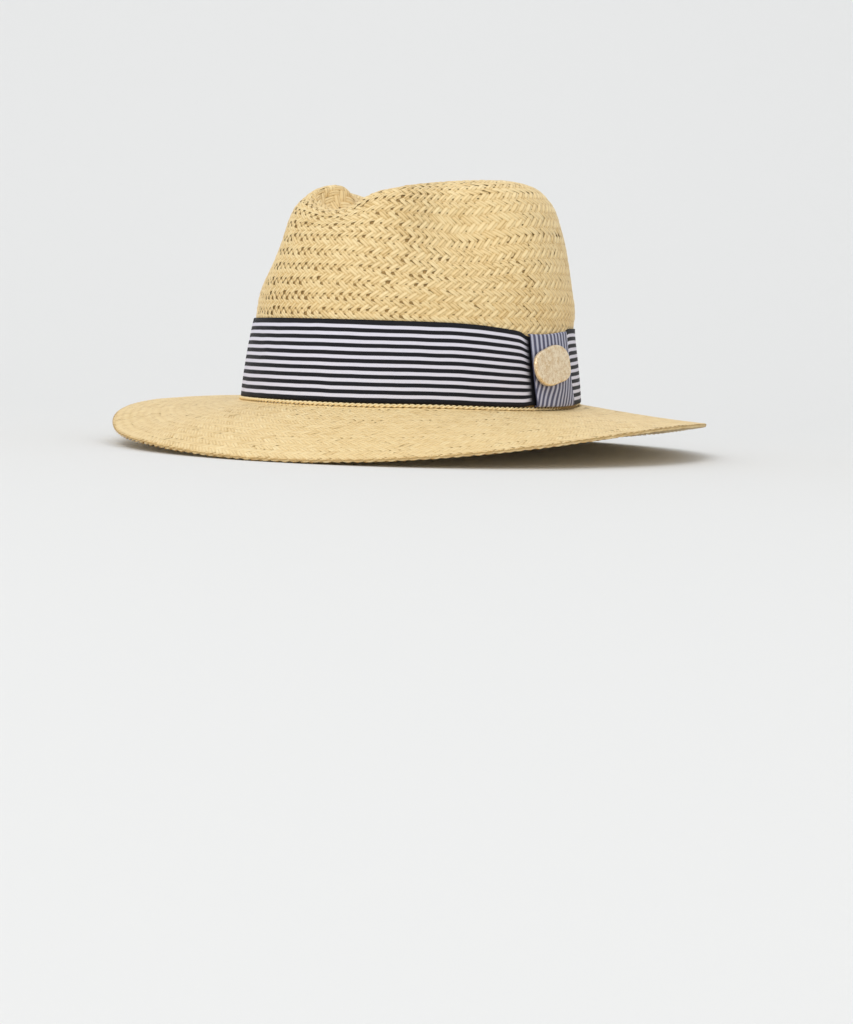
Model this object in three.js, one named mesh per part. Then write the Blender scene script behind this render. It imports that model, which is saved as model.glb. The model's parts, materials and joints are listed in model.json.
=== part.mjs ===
// A woven straw fedora with a teardrop crown, a snapped brim, a striped ribbon band,
// and a ribbon loop that carries a small metal badge.
// Millimetres, +Z up. The front of the hat faces -Y and the wearer's left is +X, so the
// loop is on +X. The hat rests on the front and back of its brim, and the origin is on
// that surface, below the middle of the hat. Angles run from the front to the wearer's left.
import * as THREE from 'three';
import { mergeVertices } from 'three/addons/utils/BufferGeometryUtils.js';

// Finishes, with the colours that daylight shows.
const STRAW = { color: '#e6c88c', roughness: 0.7, metalness: 0 };
const PALE_STRAW = { color: '#f0dcae', roughness: 0.7, metalness: 0 };
const RIBBON = { color: '#8f8f9f', roughness: 0.75, metalness: 0 };
const BADGE_METAL = { color: '#d9bf9b', roughness: 0.35, metalness: 1 };

// Common sizes.
const STRAW_WALL = 2; // a woven wall, with its raised strands
const RIBBON_WALL = 1;
const PIECE_GAP = 0.35; // air between pieces that touch on the real hat
const HOOP_SIDES = 64; // facets round the head

// The crown block. Its level sections are ovals, longer than wide by one ratio.
const OVAL_RATIO = 1.157;
const CROWN_HEIGHT = 115;
const CROWN_ROWS = 24;
const CROWN_SECTIONS = [
  { halfWidth: 85.7, height: 0 },
  { halfWidth: 83.2, height: 20 },
  { halfWidth: 80.3, height: 41 },
  { halfWidth: 79.4, height: 58 },
  { halfWidth: 75.9, height: 77 },
  { halfWidth: 72.0, height: 92 },
  { halfWidth: 67.9, height: 102 },
  { halfWidth: 58.9, height: 110.2 },
  { halfWidth: 42.4, height: 114.2 },
  { halfWidth: 22.0, height: CROWN_HEIGHT },
  { halfWidth: 0, height: CROWN_HEIGHT },
];
const FOOT_HALF_WIDTH = CROWN_SECTIONS[0].halfWidth;

// The top of the block leans forward, and is a little higher at its back and left.
const CROWN_LEAN = 3.7;
const TOP_TILT = { back: 4.6, left: 4.3 };

// The teardrop crease pressed into the top: narrow in front, round behind.
const CREASE = {
  depth: 35, frontY: -92, backY: 47, frontHalfWidth: 28, backHalfWidth: 49.5, backShift: -6.5,
  frontPart: 0.2,
};

// The two pinches, one each side of the nose: steep towards it, gentle towards the side.
const PINCH = { depth: 13.8, angle: 48, noseSpan: 16.5, sideSpan: 28, height: 99, heightSpan: 32 };

// The brim: its slanting width, how far its edge lies below the crown's foot, and how
// its slope bows. The snap is turned a little to the wearer's left.
const BRIM_WIDTH = 66.8;
const BRIM_DROP = { front: 23.1, back: 20.2, side: 2.6, threeWave: 0.65, turn: 6.4 };
const BRIM_BOW = { mean: 0.1, frontAndBack: 0.7 };
const BRIM_ROWS = 7;

// The plaited row in the corner between the crown and the brim.
const FOOT_CORD = { radius: 0.9, sides: 6 };

// The ribbon band, and the loop and badge on the wearer's left.
// The band's upper edge is drawn down where the loop gathers it.
const BAND = { low: 2.7, high: 42.3 };
const GATHER = { depth: 4, angle: 78, span: 21 };
const LOOP = { angle: 87.5, width: 39, overlap: 0.6, easedEdge: 0.4, steps: 10 };
const BADGE = { angle: 86, width: 34, height: 20.5, thickness: 1.8, easedEdge: 0.6 };

const degrees = THREE.MathUtils.degToRad;
const mix = THREE.MathUtils.lerp;
const smooth = THREE.MathUtils.smoothstep;

/** The crown's profile, from its foot to the middle of its top. */
const profile = new THREE.SplineCurve(
  CROWN_SECTIONS.map((row) => new THREE.Vector2(row.halfWidth, row.height)),
);
profile.arcLengthDivisions = 800;

/** A point of a level oval. */
function ovalPoint(halfWidth, angle) {
  return new THREE.Vector3(
    halfWidth * Math.sin(angle), -halfWidth * OVAL_RATIO * Math.cos(angle), 0,
  );
}

/** The level direction that points straight out of an oval. */
function ovalOutward(angle) {
  return new THREE.Vector3(OVAL_RATIO * Math.sin(angle), -Math.cos(angle), 0).normalize();
}

/** How far the crease presses the top down at a place. */
function creaseDepth(x, y) {
  const run = (y - CREASE.frontY) / (CREASE.backY - CREASE.frontY);
  const halfWidth = mix(CREASE.frontHalfWidth, CREASE.backHalfWidth, smooth(run, 0.1, 0.7));
  const middle = CREASE.backShift * smooth(run, 0.3, 1);
  const across = 1 - smooth(Math.abs(x - middle) / halfWidth, 0.05, 1);
  const along = mix(CREASE.frontPart, 1, smooth(run, 0.08, 0.5)) * smooth(1.12 - run, 0, 0.5);
  return CREASE.depth * across * along;
}

/** How far the pinches press the wall in at an angle and a height. */
function pinchDepth(angle, height) {
  const turn = Math.abs(Math.atan2(Math.sin(angle), Math.cos(angle)));
  const aside = turn - degrees(PINCH.angle);
  const span = degrees(aside < 0 ? PINCH.noseSpan : PINCH.sideSpan);
  const above = (height - PINCH.height) / PINCH.heightSpan;
  return PINCH.depth * Math.exp(-((aside / span) ** 2) - above ** 2);
}

/** A point of the crown's outer face: an angle, and a part of the way up the profile. */
function crownPoint(angle, part) {
  const row = profile.getPointAt(THREE.MathUtils.clamp(part, 0, 1));
  const halfWidth = Math.max(row.x, 0);
  const rise = row.y / CROWN_HEIGHT;
  const point = ovalPoint(halfWidth, angle);
  point.y -= CROWN_LEAN * rise ** 2;
  const back = point.y / FOOT_HALF_WIDTH;
  const left = point.x / FOOT_HALF_WIDTH;
  const tilt = TOP_TILT.back * back + TOP_TILT.left * left * (1 + 0.8 * back);
  const crease = creaseDepth(point.x, point.y) * smooth(rise, 0.72, 0.95);
  point.z = row.y + tilt * rise ** 3 - crease;
  const pinch = pinchDepth(angle, row.y) * smooth(halfWidth, 8, 55);
  return point.addScaledVector(ovalOutward(angle), -pinch);
}

/** How far the brim's edge lies below the foot of the crown. */
function brimDrop(angle) {
  const { front, back, side, threeWave, turn } = BRIM_DROP;
  const off = angle - degrees(turn);
  const mean = (front + back + 2 * side) / 4;
  const lean = (front - back) / 2;
  const wave = (front + back - 2 * side) / 4;
  return mean + (lean + threeWave) * Math.cos(off) + wave * Math.cos(2 * off)
    - threeWave * Math.cos(3 * off);
}

/** A point of the brim's upper face: an angle, and a part of the way to its edge. */
function brimPoint(angle, part) {
  const drop = brimDrop(angle);
  const reach = Math.sqrt(BRIM_WIDTH ** 2 - drop ** 2) * part;
  const twice = 2 * (angle - degrees(BRIM_DROP.turn));
  const bow = (BRIM_BOW.mean + BRIM_BOW.frontAndBack * Math.cos(twice)) * 4 * part * (1 - part);
  const point = ovalPoint(FOOT_HALF_WIDTH, angle).addScaledVector(ovalOutward(angle), reach);
  point.z = (part > 0 ? bow - drop * part : 0) - PIECE_GAP;
  return point;
}

/** The outward normal of a surface that two numbers run over. */
function normalOf(surface, first, second) {
  const step = 1e-3;
  const along = surface(first + step, second).sub(surface(first - step, second));
  const across = surface(first, second + step).sub(surface(first, second - step));
  return along.cross(across).normalize();
}

/** The part of the way up the profile at a height of the crown's wall. */
function partAtHeight(height) {
  let low = 0;
  let high = 0.7;
  for (let turn = 0; turn < 40; turn += 1) {
    const middle = (low + high) / 2;
    if (profile.getPointAt(middle).y < height) low = middle;
    else high = middle;
  }
  return low;
}

/** A point at a height of the crown's wall, some way out from its face. */
function wallPoint(angle, height, out) {
  const part = partAtHeight(height);
  return crownPoint(angle, part).addScaledVector(normalOf(crownPoint, angle, part), out);
}

/** A point of the band or its loop, whose heights shrink where the ribbon is gathered. */
function ribbonPoint(angle, height, out) {
  const aside = (angle - degrees(GATHER.angle)) / degrees(GATHER.span);
  const shrink = 1 - (GATHER.depth * Math.exp(-(aside ** 2))) / (BAND.high - BAND.low);
  return wallPoint(angle, BAND.low + (height - BAND.low) * shrink, out);
}

/** A geometry whose points are moved by a rule, with its seams closed. */
function warped(geometry, place) {
  const spots = geometry.getAttribute('position');
  const spot = new THREE.Vector3();
  for (let index = 0; index < spots.count; index += 1) {
    const moved = place(spot.fromBufferAttribute(spots, index).clone());
    spots.setXYZ(index, moved.x, moved.y, moved.z);
  }
  geometry.deleteAttribute('normal');
  geometry.deleteAttribute('uv');
  const merged = mergeVertices(geometry, 1e-4);
  merged.computeVertexNormals();
  return merged;
}

/** A ring or disc turned round Y and then drawn over the hat: place(angle, radius, level). */
function drawnOver(outline, place) {
  const turned = new THREE.LatheGeometry(outline, HOOP_SIDES);
  return warped(turned, (spot) => (
    place(Math.atan2(spot.x, spot.z), Math.hypot(spot.x, spot.z), spot.y)
  ));
}

/** The outline of a flat sheet's edge to edge section: its outer face is at level 0. */
function sheetOutline(radii) {
  const lower = radii.map((radius) => new THREE.Vector2(radius, -1));
  const upper = radii.map((radius) => new THREE.Vector2(radius, 0)).reverse();
  return [...lower, ...upper];
}

/** Evenly spaced numbers, both ends included. */
function steps(count, low, high) {
  return Array.from({ length: count + 1 }, (_, index) => mix(low, high, index / count));
}

/** The crown: a flat disc of straw, drawn over the block. */
function crownGeometry() {
  return drawnOver(sheetOutline(steps(CROWN_ROWS, 0, 1)), (angle, radius, level) => {
    const part = 1 - radius;
    const point = crownPoint(angle, part);
    if (level === 0) return point;
    const outward = radius < 1e-4
      ? new THREE.Vector3(0, 0, 1)
      : normalOf(crownPoint, angle, part);
    if (part < 1e-4) outward.z = 0;
    return point.addScaledVector(outward, -STRAW_WALL);
  });
}

/** The brim: a flat ring of straw, whose inner edge runs in under the crown's wall. */
function brimGeometry() {
  const inner = 1 - STRAW_WALL / BRIM_WIDTH;
  const radii = [inner, ...steps(BRIM_ROWS, 1, 2)];
  const outline = sheetOutline(radii);
  outline.push(outline[0].clone());
  return drawnOver(outline, (angle, radius, level) => {
    const part = radius - 1;
    const point = brimPoint(angle, part);
    if (level === 0) return point;
    const upward = part < 1e-4
      ? new THREE.Vector3(0, 0, 1)
      : normalOf(brimPoint, angle, part).negate();
    return point.addScaledVector(upward, -STRAW_WALL);
  });
}

/** The plaited row that lies on the brim against the crown's foot. */
function footCordGeometry() {
  const clear = FOOT_CORD.radius + PIECE_GAP;
  const middle = 10 * FOOT_CORD.radius;
  const outline = steps(FOOT_CORD.sides, 0, 2 * Math.PI).map((turn) => new THREE.Vector2(
    middle + FOOT_CORD.radius * Math.cos(turn), FOOT_CORD.radius * Math.sin(turn),
  ));
  return drawnOver(outline, (angle, radius, level) => {
    const slope = brimDrop(angle) / BRIM_WIDTH;
    const point = brimPoint(angle, 0);
    point.addScaledVector(ovalOutward(angle), clear + radius - middle);
    point.z += clear * (Math.hypot(1, slope) - slope) + BRIM_BOW.frontAndBack / 6 + level;
    return point;
  });
}

/** The ribbon band: a strip round the crown's wall. */
function bandGeometry() {
  const heights = steps(2, BAND.low, BAND.high);
  const outer = heights.map((height) => new THREE.Vector2(PIECE_GAP + RIBBON_WALL, height));
  const inner = heights.map((height) => new THREE.Vector2(PIECE_GAP, height)).reverse();
  return drawnOver([...outer, ...inner, outer[0].clone()], (angle, radius, level) => (
    ribbonPoint(angle, level, radius)
  ));
}

/** The loop's section: a ribbon that turns in over both edges of the band. */
function loopSection() {
  const under = 2 * PIECE_GAP + RIBBON_WALL;
  const over = under + RIBBON_WALL;
  const hem = { low: BAND.low - PIECE_GAP, high: BAND.high + PIECE_GAP };
  const end = { low: hem.low - LOOP.overlap, high: hem.high + LOOP.overlap };
  const eased = LOOP.easedEdge;
  const outline = [
    [PIECE_GAP, end.low], [over - eased, end.low], [over, end.low + eased],
    [over, end.high - eased], [over - eased, end.high], [PIECE_GAP, end.high],
    [PIECE_GAP, hem.high], [under, hem.high], [under, hem.low], [PIECE_GAP, hem.low],
  ];
  return new THREE.Shape(outline.map(([out, height]) => new THREE.Vector2(out, height)));
}

/** The ribbon loop over the band. */
function loopGeometry() {
  const middle = degrees(LOOP.angle);
  const halfTurn = LOOP.width / 2 / (FOOT_HALF_WIDTH * OVAL_RATIO);
  const straight = new THREE.ExtrudeGeometry(loopSection(), {
    depth: 1, steps: LOOP.steps, bevelEnabled: false,
  });
  return warped(straight, (spot) => (
    ribbonPoint(middle + mix(halfTurn, -halfTurn, spot.z), spot.y, spot.x)
  ));
}

/** The badge: a bare oval plate of metal, flat on its face, with eased edges. */
function badgeGeometry() {
  const eased = BADGE.easedEdge;
  const outline = new THREE.Shape();
  outline.absellipse(0, 0, BADGE.width / 2 - eased, BADGE.height / 2 - eased, 0, 2 * Math.PI);
  const plate = new THREE.ExtrudeGeometry(outline, {
    depth: BADGE.thickness - 2 * eased, curveSegments: 28,
    bevelThickness: eased, bevelSize: eased, bevelSegments: 2,
  });
  return warped(plate, (spot) => spot.setZ(spot.z + eased));
}

/** A named mesh with its own material. */
function piece(name, geometry, finish) {
  const mesh = new THREE.Mesh(geometry, new THREE.MeshStandardMaterial(finish));
  mesh.name = name;
  return mesh;
}

/** The badge on the middle of the loop, facing out. */
function badgePiece() {
  const badge = piece('badge', badgeGeometry(), BADGE_METAL);
  const angle = degrees(BADGE.angle);
  const height = (BAND.low + BAND.high) / 2;
  const out = normalOf(crownPoint, angle, partAtHeight(height));
  const across = new THREE.Vector3(0, 0, 1).cross(out).normalize();
  badge.position.copy(wallPoint(angle, height, 3 * PIECE_GAP + 2 * RIBBON_WALL));
  badge.setRotationFromMatrix(
    new THREE.Matrix4().makeBasis(across, out.clone().cross(across), out),
  );
  return badge;
}

/** The hat at rest: tipped until the front and back of its brim are level, and centred. */
function restingHat(pieces) {
  const hat = new THREE.Group();
  hat.add(...pieces);
  const length = 2 * (FOOT_HALF_WIDTH * OVAL_RATIO + BRIM_WIDTH);
  hat.rotation.x = -Math.atan2(BRIM_DROP.front - BRIM_DROP.back, length);
  hat.updateMatrixWorld(true);
  const box = new THREE.Box3().setFromObject(hat, true);
  const middle = box.getCenter(new THREE.Vector3());
  hat.position.set(-middle.x, -middle.y, -box.min.z);
  hat.updateMatrixWorld(true);
  return hat;
}

const fedora = new THREE.Group();
fedora.add(restingHat([
  piece('crown', crownGeometry(), STRAW),
  piece('brim', brimGeometry(), STRAW),
  piece('foot_cord', footCordGeometry(), PALE_STRAW),
  piece('hat_band', bandGeometry(), RIBBON),
  piece('band_loop', loopGeometry(), RIBBON),
  badgePiece(),
]));

export default fedora;
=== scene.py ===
"""A woven straw fedora with a striped ribbon band, on a pale studio floor.

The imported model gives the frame, and its boxes place every piece. The straw is woven
float by float and laid over the block that the solids were drawn over. Lengths are in
millimetres until HatForm puts them into the frame, which is in metres. Angles run from
the front of the hat, which faces -Y, towards the wearer's left, +X.
"""

from __future__ import annotations

import json
import logging
import math
from dataclasses import dataclass, field
from enum import Enum, IntEnum
from typing import Any, Callable, NamedTuple, Sequence

import bmesh
import bpy
import numpy as np
from mathutils import Matrix, Vector

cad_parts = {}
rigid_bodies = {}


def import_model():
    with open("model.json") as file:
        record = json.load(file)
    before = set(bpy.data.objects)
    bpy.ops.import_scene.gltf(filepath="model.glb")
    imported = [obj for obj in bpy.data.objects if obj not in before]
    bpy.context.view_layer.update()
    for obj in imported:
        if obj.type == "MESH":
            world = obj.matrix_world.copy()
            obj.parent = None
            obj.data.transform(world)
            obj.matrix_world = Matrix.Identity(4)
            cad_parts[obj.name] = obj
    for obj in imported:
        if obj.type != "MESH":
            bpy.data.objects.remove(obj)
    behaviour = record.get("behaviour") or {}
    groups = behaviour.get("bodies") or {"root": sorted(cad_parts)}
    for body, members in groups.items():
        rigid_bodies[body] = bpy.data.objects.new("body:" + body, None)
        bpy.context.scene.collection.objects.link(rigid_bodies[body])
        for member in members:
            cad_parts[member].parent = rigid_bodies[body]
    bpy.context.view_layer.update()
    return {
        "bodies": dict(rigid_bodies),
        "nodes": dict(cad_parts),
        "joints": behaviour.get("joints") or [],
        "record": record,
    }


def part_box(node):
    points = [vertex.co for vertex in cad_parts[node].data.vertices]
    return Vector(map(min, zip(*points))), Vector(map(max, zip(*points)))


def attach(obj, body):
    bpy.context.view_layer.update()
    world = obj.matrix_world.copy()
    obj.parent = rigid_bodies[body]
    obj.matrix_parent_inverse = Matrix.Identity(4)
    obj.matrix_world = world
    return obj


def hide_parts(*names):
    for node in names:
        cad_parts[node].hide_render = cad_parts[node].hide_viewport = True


LOG = logging.getLogger("fedora")
MM = 0.001
TURN = 2 * math.pi
NUDGE = 0.001  # A step along a face that is small enough to take its slope by.

Array = np.ndarray
Span = tuple[float, float]
Triple = tuple[float, float, float]
# Red, green and blue light, and alpha.
Tint = tuple[float, float, float, float]
# Takes angles, lengths along a face and heights out of it, and gives points.
Surface = Callable[[Array, Array, Array], Array]
# Takes angles and a length along a face, and gives the usual radius of a hole there.
Slack = Callable[[Array, float], Array]
# Places on a route, with their outward and their upward directions.
Directed = tuple[Array, Array, Array]


class Slot(Enum):
    """The names that the record gives to the hat's finishes."""

    STRAW = "straw"
    PLAITED_STRAW = "plaited_straw"
    BAND_RIBBON = "band_ribbon"
    LOOP_RIBBON = "loop_ribbon"
    BADGE_METAL = "badge_metal"


def smooth(value: Array, low: float, high: float) -> Array:
    """A soft step from 0 at low to 1 at high."""
    part = np.clip((value - low) / (high - low), 0, 1)
    return part * part * (3 - 2 * part)


def blend(low: Array | float, high: Array | float, part: Array | float) -> Array:
    """The value some part of the way from low to high."""
    return low + (high - low) * part


def stacked(*columns: Array) -> Array:
    """Coordinates joined into points."""
    return np.stack(np.broadcast_arrays(*columns), axis=-1)


def unit(vectors: Array) -> Array:
    """Vectors cut to a length of one."""
    return vectors / np.maximum(np.linalg.norm(vectors, axis=-1, keepdims=True), 1e-9)


def wrapped(angle: Array) -> Array:
    """Angles brought within half a turn of the front."""
    return np.arctan2(np.sin(angle), np.cos(angle))


def hump(angle: Array, middle: float, span: float) -> Array:
    """A rounded hump of height 1 round the hat, whose middle and span are in degrees."""
    aside = wrapped(angle - math.radians(middle)) / math.radians(span)
    return np.exp(-(aside**2))


# --- The hat's form -----------------------------------------------------------------


class Section(NamedTuple):
    """A level oval of the crown block."""

    half_width: float
    height: float


@dataclass(frozen=True)
class Crease:
    """The teardrop crease in the crown's top: narrow in front, round behind.

    Its spans are parts of its run, which goes from the front to the back.
    """

    depth: float = 35
    front_y: float = -92
    back_y: float = 47
    front_half_width: float = 28
    back_half_width: float = 49.5
    back_shift: float = -6.5
    front_part: float = 0.2
    widens: Span = (0.1, 0.7)
    shifts: Span = (0.3, 1)
    slopes: Span = (0.05, 1)
    deepens: Span = (0.08, 0.5)
    end: float = 1.12
    end_span: float = 0.5

    def at(self, x: Array, y: Array) -> Array:
        """How far the crease presses the top down at a place.

        Args:
            x: Places across the hat.
            y: Places along the hat.

        Returns:
            Depths.
        """
        run = (y - self.front_y) / (self.back_y - self.front_y)
        widened = smooth(run, *self.widens)
        half_width = blend(self.front_half_width, self.back_half_width, widened)
        middle = self.back_shift * smooth(run, *self.shifts)
        across = 1 - smooth(np.abs(x - middle) / half_width, *self.slopes)
        along = blend(self.front_part, 1, smooth(run, *self.deepens))
        return self.depth * across * along * smooth(self.end - run, 0, self.end_span)


@dataclass(frozen=True)
class Pinch:
    """The dents each side of the nose: steep towards it, gentle towards the side."""

    depth: float = 13.8
    angle: float = 48
    nose_span: float = 16.5
    side_span: float = 28
    height: float = 99
    height_span: float = 32

    def at(self, angle: Array, height: Array) -> Array:
        """How far the wall is pressed in.

        Args:
            angle: Angles from the front.
            height: Heights on the block.

        Returns:
            Depths.
        """
        aside = np.abs(wrapped(angle)) - math.radians(self.angle)
        span = np.radians(np.where(aside < 0, self.nose_span, self.side_span))
        above = (height - self.height) / self.height_span
        return self.depth * np.exp(-((aside / span) ** 2) - above**2)


@dataclass(frozen=True)
class Rise:
    """A soft rise that the blocking left in the crown, or a hollow when negative."""

    lift: float
    angle: float
    angle_span: float
    along: float
    along_span: float

    def at(self, angle: Array, along: Array) -> Array:
        """How far the face stands out at an angle and a length up the profile."""
        upward = (along - self.along) / self.along_span
        return self.lift * hump(angle, self.angle, self.angle_span) * np.exp(-(upward**2))


@dataclass
class Block:
    """The crown block, whose level sections are ovals longer than wide by one ratio."""

    sections: tuple[Section, ...] = (
        Section(85.7, 0),
        Section(83.2, 20),
        Section(80.3, 41),
        Section(79.4, 58),
        Section(75.9, 77),
        Section(72.0, 92),
        Section(67.9, 102),
        Section(58.9, 110.2),
        Section(42.4, 114.2),
        Section(22.0, 115),
        Section(0, 115),
    )
    oval_ratio: float = 1.157
    height: float = 115
    lean: float = 3.7
    tilt_back: float = 4.6
    tilt_left: float = 4.3
    tilt_skew: float = 0.8
    wall_part: float = 0.95
    crease: Crease = Crease()
    crease_rise: Span = (0.72, 0.95)
    pinch: Pinch = Pinch()
    pinch_reach: Span = (8, 55)
    rises: tuple[Rise, ...] = (
        Rise(2.7, -40, 12, 122, 9),
        Rise(2.0, -90, 30, 129, 8),
        Rise(1.6, 15, 8, 115, 6),
        Rise(-4.5, -14, 12, 115, 7),
        Rise(-5.0, -24, 13, 127, 8),
        Rise(0.6, -33, 12, 93, 8),
        Rise(1.1, 124, 34, 84, 28),
        Rise(0.5, 100, 26, 123, 12),
        Rise(-3.4, 61, 12, 88, 20),
        Rise(1.4, 84, 12, 80, 20),
        Rise(1.3, 112, 30, 50, 8),
    )
    samples: int = 4000
    length: float = field(init=False)
    parts: Array = field(init=False)
    profile: Array = field(init=False)

    def __post_init__(self) -> None:
        """Runs a smooth curve through the sections and measures it."""
        knots = np.array(self.sections)
        ends = np.vstack([knots[0], knots, knots[-1]])
        place = np.linspace(0, len(knots) - 1, self.samples + 1)
        knot = np.minimum(place.astype(int), len(knots) - 2)
        part = (place - knot)[:, None]
        before, low, high, after = (ends[knot + step] for step in range(4))
        leave, meet = (high - before) / 2, (after - low) / 2
        curve = (
            (2 * low - 2 * high + leave + meet) * part**3
            + (3 * high - 3 * low - 2 * leave - meet) * part**2
            + leave * part
            + low
        )
        steps = np.linalg.norm(np.diff(curve, axis=0), axis=1)
        run = np.concatenate([[0], np.cumsum(steps)])
        self.length = float(run[-1])
        self.parts = run / run[-1]
        self.profile = curve

    @property
    def foot(self) -> float:
        """Half the width of the crown's foot."""
        return self.sections[0].half_width

    def half_width(self, along: Array) -> Array:
        """Half widths at lengths up the profile."""
        return np.maximum(np.interp(along / self.length, self.parts, self.profile[:, 0]), 0)

    def along_at(self, height: Array) -> Array:
        """Lengths up the profile at heights of the wall."""
        wall = self.profile[:, 1] < self.height * self.wall_part
        return np.interp(height, self.profile[wall, 1], self.parts[wall]) * self.length

    def outward(self, angle: Array) -> Array:
        """Level directions straight out of the oval."""
        return unit(stacked(self.oval_ratio * np.sin(angle), -np.cos(angle), 0 * angle))

    def oval(self, half_width: Array, angle: Array) -> Array:
        """Points of level ovals at height 0.

        Args:
            half_width: Half the ovals' widths.
            angle: Angles from the front.

        Returns:
            One point for each width and angle.
        """
        return stacked(
            half_width * np.sin(angle),
            -half_width * self.oval_ratio * np.cos(angle),
            0 * (half_width + angle),
        )

    def uneven(self, angle: Array, along: Array) -> Array:
        """How far the rises lift the face in all."""
        return sum(rise.at(angle, along) for rise in self.rises)

    def point(self, angle: Array, along: Array) -> Array:
        """Points of the crown's even outer face.

        Args:
            angle: Angles from the front.
            along: Lengths up the profile.

        Returns:
            Points over the block.
        """
        half_width = self.half_width(along)
        height = np.interp(along / self.length, self.parts, self.profile[:, 1])
        rise = height / self.height
        point = self.oval(half_width, angle)
        point[..., 1] -= self.lean * rise**2
        back, left = point[..., 1] / self.foot, point[..., 0] / self.foot
        tilt = self.tilt_back * back + self.tilt_left * left * (1 + self.tilt_skew * back)
        crease = self.crease.at(point[..., 0], point[..., 1]) * smooth(rise, *self.crease_rise)
        point[..., 2] = height + tilt * rise**3 - crease
        pinch = self.pinch.at(angle, height) * smooth(half_width, *self.pinch_reach)
        return point - self.outward(angle) * pinch[..., None]


class Sway(NamedTuple):
    """How a stretch of the brim stands above its even sweep, from foot to edge."""

    angle: float
    span: float
    foot: float
    middle: float
    edge: float


@dataclass(frozen=True)
class BrimForm:
    """The brim's upper face, which falls from the crown's foot to its edge."""

    width: float = 66.8
    front: float = 23.1
    back: float = 20.2
    side: float = 2.6
    three_wave: float = 0.65
    turn: float = 6.4
    mean_bow: float = 0.1
    front_bow: float = 0.7
    foot_gap: float = 0.35
    sways: tuple[Sway, ...] = (
        Sway(125, 22, 2.5, 0, 0),
        Sway(42, 18, 0.6, 0, 0),
        Sway(107, 25, 0, 0, -1.6),
        Sway(-95, 30, 0, 1.9, 0),
        Sway(-66, 45, 0, 0, -0.8),
        Sway(-38, 13, 0, 0, -2.0),
    )

    def sway(self, angle: Array, part: Array) -> Array:
        """How far the sways lift the face.

        Args:
            angle: Angles from the front.
            part: Parts of the way from the foot to the edge.

        Returns:
            Lifts.
        """
        lift = 0 * angle
        for one in self.sways:
            across = one.foot * (1 - part) + one.middle * 4 * part * (1 - part) + one.edge * part
            lift = lift + across * hump(angle, one.angle, one.span)
        return lift

    def drop(self, angle: Array) -> Array:
        """How far the edge lies below the foot of the crown.

        Args:
            angle: Angles from the front.

        Returns:
            Drops.
        """
        off = angle - math.radians(self.turn)
        mean = (self.front + self.back + 2 * self.side) / 4
        lean = (self.front - self.back) / 2
        wave = (self.front + self.back - 2 * self.side) / 4
        return (
            mean
            + (lean + self.three_wave) * np.cos(off)
            + wave * np.cos(2 * off)
            - self.three_wave * np.cos(3 * off)
        )

    def point(self, block: Block, angle: Array, along: Array) -> Array:
        """Points of the upper face.

        Args:
            block: The crown block, whose foot the brim leaves.
            angle: Angles from the front.
            along: Lengths out from the crown's foot.

        Returns:
            Points of the face.
        """
        part = along / self.width
        drop = self.drop(angle)
        reach = np.sqrt(self.width**2 - drop**2) * part
        twice = 2 * (angle - math.radians(self.turn))
        bow = (self.mean_bow + self.front_bow * np.cos(twice)) * 4 * part * (1 - part)
        point = block.oval(np.full_like(angle, block.foot), angle)
        point = point + block.outward(angle) * reach[..., None]
        point[..., 2] = np.where(part > 0, bow - drop * part, 0) - self.foot_gap
        point[..., 2] += self.sway(angle, np.clip(part, 0, 1))
        return point


@dataclass(frozen=True)
class Gather:
    """Where the loop draws the band's upper edge down."""

    depth: float = 3.2
    angle: float = 79
    span: float = 18

    def shrink(self, angle: Array, width: float) -> Array:
        """The part of its width that the ribbon keeps at an angle."""
        return 1 - self.depth * hump(angle, self.angle, self.span) / width


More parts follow.
